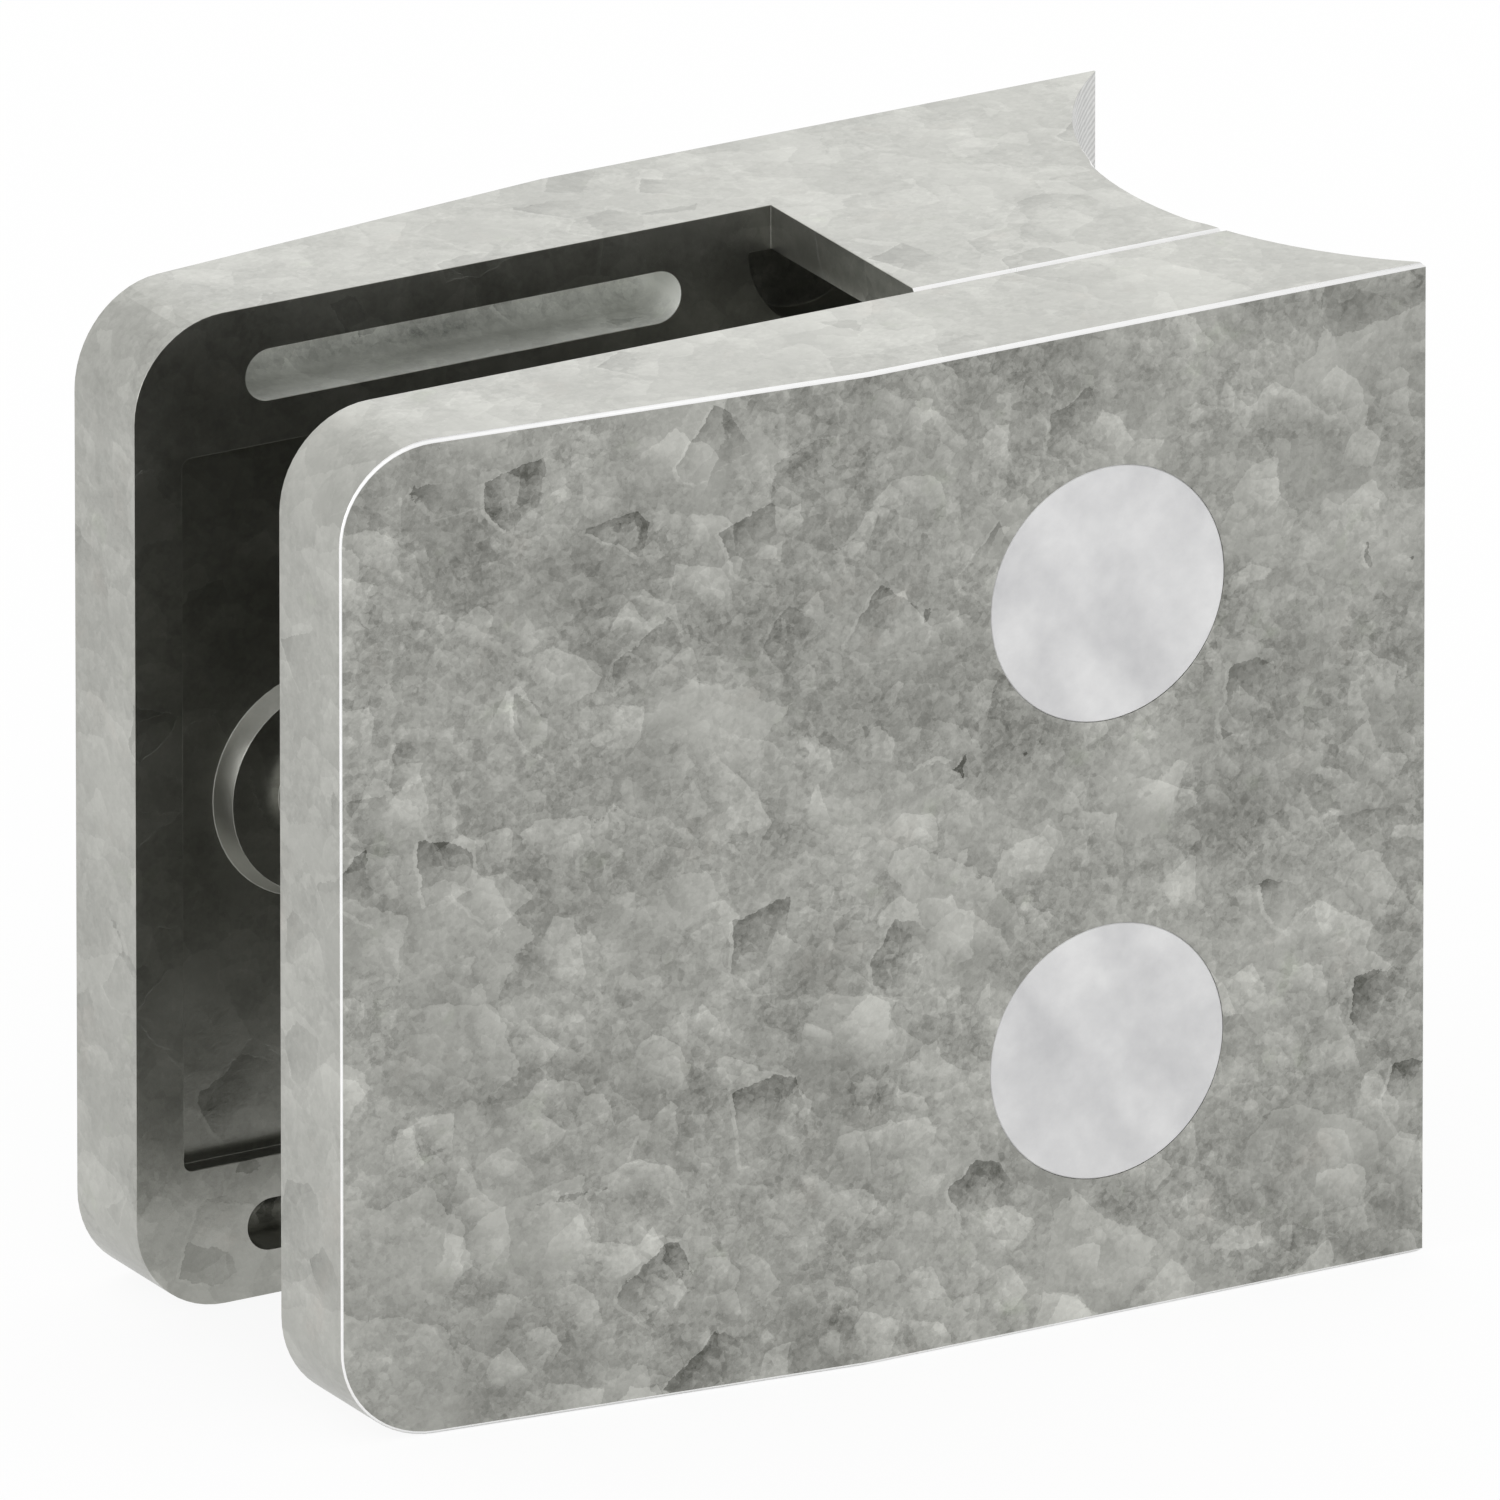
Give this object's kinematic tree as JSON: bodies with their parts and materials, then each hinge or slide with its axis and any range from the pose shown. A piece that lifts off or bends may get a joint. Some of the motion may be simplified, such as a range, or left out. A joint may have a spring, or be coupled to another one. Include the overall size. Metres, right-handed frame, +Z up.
{
  "type": "glass panel clamp",
  "caption": "Two-part cast clamp that grips the edge of a glass panel in a deep slot and sits with a hollow saddle against a round post; flush caps hide its clamping screws.",
  "frame": {"origin": "centre of the flat underside of the closed clamp, at mid-length and mid-depth", "axes": "+X from the rounded tip towards the post, -Y out of the front plate, +Z upwards along the post"},
  "size_m": [0.0598, 0.0324, 0.052],
  "materials": {
    "raw_zinc": "raw cast zinc, mottled and matt, with thin bright edges",
    "screw_steel": "bright zinc-plated steel",
    "cap_grey": "smooth pale grey"
  },
  "bodies": {
    "body": {"clamp_body": "raw_zinc"},
    "plate": {"front_plate": "raw_zinc"},
    "screw_top": {"upper_screw": "screw_steel"},
    "screw_bottom": {"lower_screw": "screw_steel"},
    "cap_top": {"upper_cap": "cap_grey"},
    "cap_bottom": {"lower_cap": "cap_grey"}
  },
  "joints": [
    {"name": "plate_slide", "type": "slide", "parent": "body", "child": "plate", "axis": [0, -1, 0], "range_m": [0, 0.0175]},
    {"name": "upper_screw_turn", "type": "hinge", "parent": "plate", "child": "screw_top", "pos_m": [0.0118, 0, 0.038], "axis": [0, -1, 0], "range_deg": [0, 5040]},
    {"name": "lower_screw_turn", "type": "hinge", "parent": "plate", "child": "screw_bottom", "pos_m": [0.0118, 0, 0.014], "axis": [0, -1, 0], "range_deg": [0, 5040]},
    {"name": "upper_cap_pull", "type": "slide", "parent": "plate", "child": "cap_top", "axis": [0, -1, 0], "range_m": [0, 0.006]},
    {"name": "lower_cap_pull", "type": "slide", "parent": "plate", "child": "cap_bottom", "axis": [0, -1, 0], "range_m": [0, 0.006]}
  ],
  "couplings": [
    {"joint": "upper_screw_turn", "follows": "plate_slide", "rad_per_m": 5026.5},
    {"joint": "lower_screw_turn", "follows": "plate_slide", "rad_per_m": 5026.5}
  ]
}
